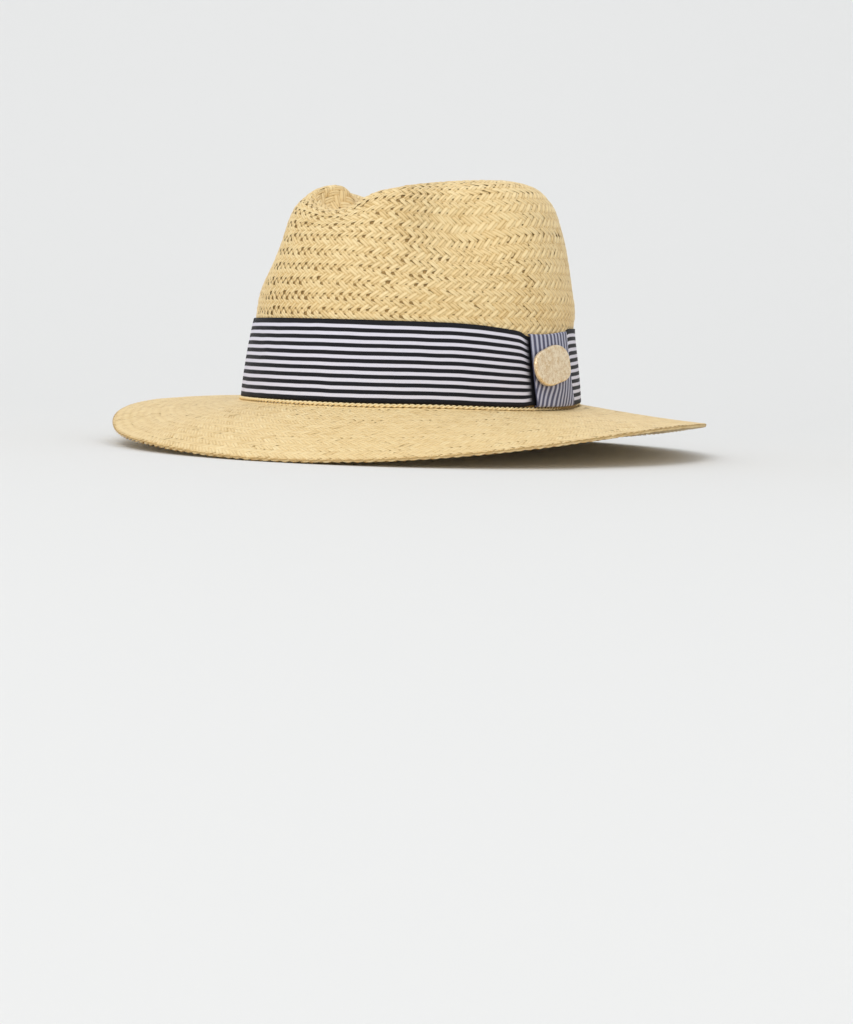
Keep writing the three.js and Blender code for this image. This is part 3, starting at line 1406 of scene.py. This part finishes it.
@dataclass
class StrawBody:
    """The crown and the brim, with the cord between them and the woven edge.

    The cores lie some depth below the floats. The drape draws the crown's rows down into
    the dent, and the tuck draws the cord in beside the loop.
    """

    form: HatForm
    twill: Twill = Twill()
    brim_twill: Twill = Twill(
        stretch=1.15,
        half_width=1.5,
        edge_drop=0.15,
        swell=0.03,
        tuck=0.25,
        ruffle=0.6,
        hole_spread=0.14,
    )
    lining: Twill = Twill(stations=(-3.15, -2.1, -0.9, 0.6, 2.2, 3.15))
    slack: CrownSlack = CrownSlack()
    brim_open: float = 0.12
    brim_drift: float = 0.06
    brim_waves: float = 4
    brim_wave_length: float = 9
    brim_round: float = 0.97
    brim_inset: float = 1.2
    brim_lap: float = 2
    crown_depth: float = 0.85
    brim_depth: float = 0.42
    core: float = 0.3
    drape: Rise = Rise(-4, 48, 30, 78, 26)
    hidden_height: float = 34
    around_steps: int = 160
    crown_steps: int = 72
    brim_steps: int = 20
    foot_cord: TwistedCord = TwistedCord(ply_radius=0.52, ply_offset=0.43)
    cord_out: float = -0.6
    cord_up: float = -0.1
    cord_tuck: float = 2.6
    tuck_angle: float = 102
    tuck_span: float = 24
    edge_cord: TwistedCord = TwistedCord(ply_offset=0.42, lay_length=10, steps_per_turn=18)

    def crown_girth(self, along: float) -> float:
        """The way round the crown at a length up its profile."""
        half_width = float(self.form.block.half_width(np.array(along)))
        return math.pi * half_width * (1 + self.form.block.oval_ratio)

    def brim_girth(self, out: float) -> float:
        """The way round the brim at a length out from the crown's foot."""
        return self.crown_girth(0) + TURN * out * self.brim_round

    def crown_slack(self, angle: Array, along: float) -> Array:
        """How open the crown's weave is at a length up its profile."""
        return self.slack.at(angle, along, self.form.block.length)

    def brim_slack(self, angle: Array, along: float) -> Array:
        """How open the brim's weave is, which is close all over."""
        wave = np.sin(self.brim_waves * angle + along / self.brim_wave_length)
        return self.brim_open + self.brim_drift * wave

    def core_skin(
        self, name: str, surface: Surface, length: float, steps: int, depth: float
    ) -> bpy.types.Object:
        """The layer under the floats, which closes the wall.

        Args:
            name: The piece's name.
            surface: Takes angles, lengths along and heights out to points.
            length: How long the face is.
            steps: How many faces the layer has along it.
            depth: How far the layer lies below the floats' own face.

        Returns:
            The layer, with its wall.
        """
        piece = grid_object(name, self.around_steps, steps)
        run, along, _ = spots_of(piece.data).T
        move_spots(piece.data, surface(TURN * run, along * length, np.full_like(run, -depth)))
        close_seams(piece.data)
        thicken(piece, self.core)
        return piece

    def draped(self, angle: Array, along: Array, out: Array) -> Array:
        """The crown's outer face, where the rows are drawn down into the dent."""
        return self.form.crown_outer(angle, along + self.drape.at(angle, along), out)

    def crown(self, straw: bpy.types.Material, shadow: bpy.types.Material) -> None:
        """Weaves the crown's two faces over its core.

        Args:
            straw: The floats' material.
            shadow: The core's material.
        """
        form, length = self.form, self.form.block.length
        core = self.core_skin(
            "crown_core", form.crown_outer, length, self.crown_steps, self.crown_depth
        )
        dress(core, shadow, "crown")
        # The outer rows start behind the band, a whole number of rows above the foot.
        hidden = float(form.block.along_at(np.array(self.hidden_height)))
        start = round(hidden / self.twill.pitch) * self.twill.pitch
        rows = self.twill.rows(start, length, self.crown_girth)
        outer = self.twill.lay("crown_weave", self.draped, rows, self.crown_slack, seed=11)
        dress(outer, straw, "crown")
        rows = self.lining.rows(0, length, self.crown_girth)
        inner = self.lining.lay("crown_inside", form.crown_inner, rows, self.crown_slack, seed=12)
        dress(inner, straw, "crown")

    def brim(self, straw: bpy.types.Material, shadow: bpy.types.Material) -> None:
        """Weaves the brim's two faces over its core, and twists its edge.

        Args:
            straw: The floats' material.
            shadow: The core's material.
        """
        form, twill, width = self.form, self.brim_twill, self.form.brim.width
        core = self.core_skin(
            "brim_core", form.brim_upper, width, self.brim_steps, self.brim_depth
        )
        dress(core, shadow, "brim")
        rows = twill.rows(self.brim_inset, width, lambda along: self.brim_girth(width - along))
        upper = twill.lay("brim_weave", form.brim_upper, rows, self.brim_slack, seed=13)
        dress(upper, straw, "brim")
        rows = twill.rows(-self.brim_lap, width - self.brim_inset, self.brim_girth)
        under = twill.lay("brim_underside", form.brim_under, rows, self.brim_slack, seed=14)
        dress(under, straw, "brim")
        girth = self.brim_girth(width)
        edge = self.edge_cord.make("brim_edge", self.edge_route, girth, seed=15)
        dress(edge, straw, "brim")

    def directed(self, angle: Array, along: Array, height: Array) -> Directed:
        """The middle of a cord that lies on the brim.

        Args:
            angle: Angles from the front.
            along: Lengths in from the brim's edge.
            height: Heights above the brim's upper face.

        Returns:
            Its places, with its outward and its upward directions there.
        """
        upper = self.form.brim_upper
        centre = upper(angle, along, height)
        outward = unit(upper(angle, along - 0.5, height) - centre)
        upward = unit(upper(angle, along, height + 0.5) - centre)
        return centre, outward, upward

    def edge_route(self, angle: Array) -> Directed:
        """The way round the brim's edge, half-way down its wall."""
        inset = np.full_like(angle, self.edge_cord.ply_radius + self.edge_cord.ply_offset)
        return self.directed(angle, inset, np.full_like(angle, -self.form.wall / 2))

    def foot_route(self, angle: Array) -> Directed:
        """The way round the crown's foot, tucked in just past the loop.

        Args:
            angle: Angles from the front.

        Returns:
            Its places and its two directions.
        """
        radius = self.foot_cord.ply_radius + self.foot_cord.ply_offset
        tuck = self.cord_tuck * hump(angle, self.tuck_angle, self.tuck_span)
        along = self.form.brim.width - radius - self.cord_out + tuck
        return self.directed(angle, along, np.full_like(angle, radius + self.cord_up))

    def cord(self, straw: bpy.types.Material) -> None:
        """Twists the cord in the corner of the crown and the brim.

        Args:
            straw: The cord's material.
        """
        girth = self.crown_girth(0)
        piece = self.foot_cord.make("foot_plait", self.foot_route, girth, seed=16)
        dress(piece, straw, "foot_cord")


# --- Ribbon and badge ---------------------------------------------------------------


@dataclass
class Trim:
    """The ribbon band, the loop over it and the badge.

    Near the loop the band is pressed flat, tucked under and darkened by painted shade, and
    each reach is how far past the loop that goes. The pebble is what makes the badge's oval
    a little uneven: how many times round, how much, and at which angle in degrees.
    """

    form: HatForm
    ribbon_wall: float = 0.7
    oval_mean: float = 1.08
    band_out: float = 0.8
    band_crown: float = 0.35
    band_ripple: float = 0.12
    ripple_waves: Span = (23, 7.3)
    band_press: float = 0.45
    band_dip: float = 2.4
    pressed_reach: float = 7
    tucked_reach: float = 4
    shaded_reach: float = 2.4
    band_steps: tuple[int, int] = (480, 26)
    loop_steps: tuple[int, int] = (44, 72)
    loop_angle: float = 87.5
    loop_width: float = 39
    loop_out: float = 2.45
    loop_back: float = 0.5
    loop_overlap: float = -0.5
    loop_sink: float = 0.55
    loop_lean: float = 1.6
    lean_part: Span = (-0.4, 1)
    loop_slant: float = 0.25
    slant_part: Span = (-0.15, 1.1)
    slant_waver: float = 0.1
    slant_waves: float = 9
    loop_swell: float = 0.35
    loop_crumple: float = 0.16
    crumple_waves: Span = (6.1, 5)
    squareness: float = 9
    badge_width: float = 35
    badge_height: float = 20.5
    badge_wall: float = 1.8
    badge_sides: int = 72
    badge_bevel: float = 1.1
    bevel_steps: int = 5
    sharp_angle: float = 40
    badge_shift: tuple[float, float] = (-1.0, -0.4)
    badge_turn: float = -2.8
    pebble: tuple[tuple[int, float, float], ...] = (
        (1, 0.035, -145),
        (2, 0.1, 90),
        (3, 0.025, -130),
        (4, 0.051, -115),
        (5, 0.007, 155),
    )

    def near_loop(self, angle: Array, reach: float) -> Array:
        """How near places on the band are to the loop.

        Args:
            angle: Angles from the front.
            reach: How far past the loop's edges the nearness goes.

        Returns:
            Parts, which are 1 under the loop and fall to 0 away from it.
        """
        block = self.form.block
        half = self.loop_width / 2 / (block.foot * block.oval_ratio)
        off = wrapped(angle - math.radians(self.loop_angle))
        away = np.maximum(np.abs(off) - half, 0) * block.foot
        return np.exp(-((away / reach) ** 2))

    def band(self, finish: bpy.types.Material) -> None:
        """Wraps the ribbon round the crown.

        Args:
            finish: The ribbon's material.
        """
        form = self.form
        piece = grid_object("ribbon_band", *self.band_steps)
        run, part, _ = spots_of(piece.data).T
        angle = TURN * run + math.radians(self.loop_angle)
        girth = form.block.foot * TURN * self.oval_mean
        pressed, tucked, shaded = (
            self.near_loop(angle, reach)
            for reach in (self.pressed_reach, self.tucked_reach, self.shaded_reach)
        )
        bulge = self.band_crown * (1 - (2 * part - 1) ** 4)
        short, long = self.ripple_waves
        ripple = self.band_ripple * np.sin(angle * short + 2 * part) * np.sin(angle * long)
        out = self.band_out + (bulge + ripple) * (1 - pressed)
        out = out - self.band_press * pressed * bulge
        height = blend(form.band_low + tucked, form.band_high - self.band_dip * tucked, part)
        move_spots(piece.data, form.ribbon(angle, height, out))
        mark(piece.data, "ribbon", stacked(run * girth, part, part))
        # Painted shade darkens the band only on the side of the loop that faces forwards.
        mark(piece.data, "shade", shaded * (np.sin(run * TURN) < 0.0))
        close_seams(piece.data)
        thicken(piece, self.ribbon_wall)
        dress(piece, finish, "hat_band")

    def loop(self, finish: bpy.types.Material) -> None:
        """Wraps the short ribbon over the band.

        Args:
            finish: The ribbon's material.
        """
        form = self.form
        piece = grid_object("ribbon_loop", *self.loop_steps)
        side, turn, _ = spots_of(piece.data).T
        around = math.pi * (turn - 0.5)
        middle = (form.band_low + form.band_high) / 2 - self.loop_sink
        half = (form.band_high - form.band_low) / 2 + self.loop_overlap
        power = 2 / self.squareness
        # The loop's section is a squared oval: flat in front, with a tight turn at each end.
        rise = np.sign(np.sin(around)) * np.abs(np.sin(around)) ** power
        reach = np.abs(np.cos(around)) ** power
        swell = self.loop_swell * (1 - (2 * side - 1) ** 2)
        across, upward = self.crumple_waves
        crumple = self.loop_crumple * np.sin(across * side + upward * rise) * (1 - rise)
        out = blend(self.loop_back, self.loop_out + swell + crumple, reach)
        radius = form.block.foot * form.block.oval_ratio
        lean = self.loop_lean * smooth(-rise, *self.lean_part)
        angle = math.radians(self.loop_angle) + ((side - 0.5) * self.loop_width + lean) / radius
        move_spots(piece.data, form.ribbon(angle, middle + half * rise, out))
        waver = 1 + self.slant_waver * np.sin(self.slant_waves * side)
        slant = self.loop_slant * smooth(-rise, *self.slant_part) * waver
        mark(piece.data, "ribbon", stacked(half * rise, side + slant, side))
        mark(piece.data, "shade", 0 * side)
        thicken(piece, self.ribbon_wall)
        dress(piece, finish, "band_loop")

    def badge(self, frame: dict[str, Any], finish: bpy.types.Material) -> None:
        """Casts the bare badge on the loop.

        Args:
            frame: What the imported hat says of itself, with its mounts.
            finish: The badge's material.
        """
        face = next(m for m in frame["record"]["mounts"] if m["name"] == "badge_face")
        outward = Vector(face["axis"]).normalized()
        across = Vector((0, 0, 1)).cross(outward).normalized()
        upward = outward.cross(across)
        basis = Matrix((across, upward, outward)).transposed().to_4x4()
        bm = bmesh.new()
        bmesh.ops.create_circle(bm, cap_ends=True, radius=1, segments=self.badge_sides)
        for vert in bm.verts:
            angle = math.atan2(vert.co.y, vert.co.x)
            pebble = 1 + sum(
                size * math.cos(times * angle - math.radians(ahead))
                for times, size, ahead in self.pebble
            )
            vert.co.x *= pebble * self.badge_width / 2 * MM
            vert.co.y *= pebble * self.badge_height / 2 * MM
        grown = bmesh.ops.extrude_face_region(bm, geom=bm.faces[:])
        top = [part for part in grown["geom"] if isinstance(part, bmesh.types.BMVert)]
        bmesh.ops.translate(bm, verts=top, vec=(0, 0, self.badge_wall * MM))
        bmesh.ops.recalc_face_normals(bm, faces=bm.faces)
        rims = [edge for edge in bm.edges if all(v in top for v in edge.verts)]
        bmesh.ops.bevel(
            bm,
            geom=rims,
            offset=self.badge_bevel * MM,
            affect="EDGES",
            segments=self.bevel_steps,
            profile=0.5,
            material=-1,
        )
        place = Matrix.Translation(Vector(face["pos_m"]) - outward * (self.badge_wall * MM))
        aside = Matrix.Translation(Vector((*self.badge_shift, 0)) * MM)
        turn = Matrix.Rotation(math.radians(self.badge_turn), 4, "Z")
        bmesh.ops.transform(bm, matrix=place @ basis @ aside @ turn, verts=bm.verts)
        piece = finished("badge_plate", bm)
        piece.data.set_sharp_from_angle(angle=math.radians(self.sharp_angle))
        dress(piece, finish, "badge")


# --- Studio -------------------------------------------------------------------------


@dataclass(frozen=True)
class SoftBox:
    """One square soft light that faces the hat."""

    name: str
    place: Triple
    size: float
    power: float
    colour: Triple = (1.0, 1.0, 1.0)


@dataclass
class Studio:
    """The floor that runs up into a backdrop, the lights and the camera.

    The floor and the lights are in metres, and the camera's place is in millimetres.
    """

    form: HatForm
    reach: float = 6
    back: float = 2.3
    cove: float = 1.9
    wall: float = 5
    sweep_steps: tuple[int, int] = (2, 96)
    aim: Triple = (9.4, 1.9, -57.6)
    distance: float = 1000
    azimuth: float = 30.5
    elevation: float = 4.74
    roll: float = 2.0
    lens: float = 66.1
    clip: Span = (0.05, 60)
    air: Tint = daylight(232, 234, 238)
    air_strength: float = 0.92
    light_aim: Triple = (0, 0, 0.07)
    lights: tuple[SoftBox, ...] = (
        SoftBox("key", (0.5, -3.16, 3.8), 2.2, 68, (1.0, 0.985, 0.965)),
        SoftBox("fill", (0.2, -2.3, 0.65), 1.2, 5, (1.0, 0.99, 0.975)),
        SoftBox("top", (0.1, 0.5, 2.2), 1.6, 4),
    )

    def camera(self) -> None:
        """Stands the camera a little above the floor, level with the band."""
        azimuth, elevation = math.radians(self.azimuth), math.radians(self.elevation)
        level = math.cos(elevation)
        back = Vector(
            (math.sin(azimuth) * level, -math.cos(azimuth) * level, math.sin(elevation))
        )
        place = Vector(self.aim) + back * self.distance
        turn = back.to_track_quat("Z", "Y").to_matrix().to_4x4()
        roll = Matrix.Rotation(math.radians(self.roll), 4, "Z")
        data = bpy.data.cameras.new("camera")
        data.lens = self.lens
        data.clip_start, data.clip_end = self.clip
        camera = bpy.data.objects.new("camera", data)
        bpy.context.scene.collection.objects.link(camera)
        camera.matrix_world = self.form.rest @ Matrix.Translation(place * MM) @ turn @ roll
        bpy.context.scene.camera = camera

    def floor(self) -> None:
        """Sweeps one sheet from the floor up into the backdrop, behind the hat."""
        piece = grid_object("studio_sweep", *self.sweep_steps)
        side, run, _ = spots_of(piece.data).T
        corner = self.back - self.cove
        arc = self.cove * math.pi / 2
        total = self.reach + corner + arc + self.wall
        path = run * total - self.reach
        turn = np.clip((path - corner) / self.cove, 0, math.pi / 2)
        along = np.minimum(path, corner) + self.cove * np.sin(turn)
        up = self.cove * (1 - np.cos(turn)) + np.maximum(path - corner - arc, 0)
        across = (side - 0.5) * 2 * self.reach
        azimuth = math.radians(self.azimuth)
        ahead = np.array([-math.sin(azimuth), math.cos(azimuth), 0])
        aside = np.array([ahead[1], -ahead[0], 0])
        points = across[:, None] * aside + along[:, None] * ahead
        points[:, 2] = up
        move_spots(piece.data, points)
        piece.data.materials.append(StudioFinish().material())

    def light(self) -> None:
        """Hangs the soft boxes and sets the air's own light."""
        for box in self.lights:
            data = bpy.data.lights.new(box.name, "AREA")
            data.size, data.energy, data.color = box.size, box.power, box.colour
            lamp = bpy.data.objects.new(box.name, data)
            bpy.context.scene.collection.objects.link(lamp)
            place = Vector(box.place)
            turn = (place - Vector(self.light_aim)).to_track_quat("Z", "Y")
            lamp.matrix_world = Matrix.Translation(place) @ turn.to_matrix().to_4x4()
        world = bpy.data.worlds.new("air")
        world.use_nodes = True
        air = world.node_tree.nodes["Background"]
        air.inputs["Color"].default_value = self.air
        air.inputs["Strength"].default_value = self.air_strength
        bpy.context.scene.world = world
        bpy.context.scene.view_settings.view_transform = "Standard"


def main() -> None:
    """Builds the hat and the studio."""
    logging.basicConfig(level=logging.INFO, format="%(name)s: %(message)s")
    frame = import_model()
    form = HatForm()

    straw = StrawFinish("Straw")
    pale_straw = StrawFinish("PaleStraw", mid=daylight(246, 222, 170), edge_shade=0, split=0)
    shadow = ShadowStrawFinish("StrawShadow")
    brim_straw = StrawFinish("BrimStraw", variety=0.8, edge_shade=0.28, split=0.22)
    brim_shadow = ShadowStrawFinish(
        "BrimShadow", light=daylight(212, 178, 118), dark=daylight(180, 146, 90)
    )
    ribbon = RibbonFinish("Ribbon")
    loop_ribbon = RibbonFinish(
        "LoopRibbon",
        white=daylight(198, 199, 214),
        thread=daylight(182, 184, 202),
        dark=daylight(84, 85, 108),
        edge_share=0.004,
        first_line=0.072,
        softness=0.1,
    )

    studio = Studio(form)
    studio.camera()
    studio.floor()
    studio.light()

    body = StrawBody(form)
    body.crown(straw.material(), shadow.material())
    body.brim(brim_straw.material(), brim_shadow.material())
    body.cord(pale_straw.material())

    trim = Trim(form)
    trim.band(ribbon.material())
    trim.loop(loop_ribbon.material())
    trim.badge(frame, BadgeFinish("BadgeMetal").material())


if __name__ == "__main__":
    main()
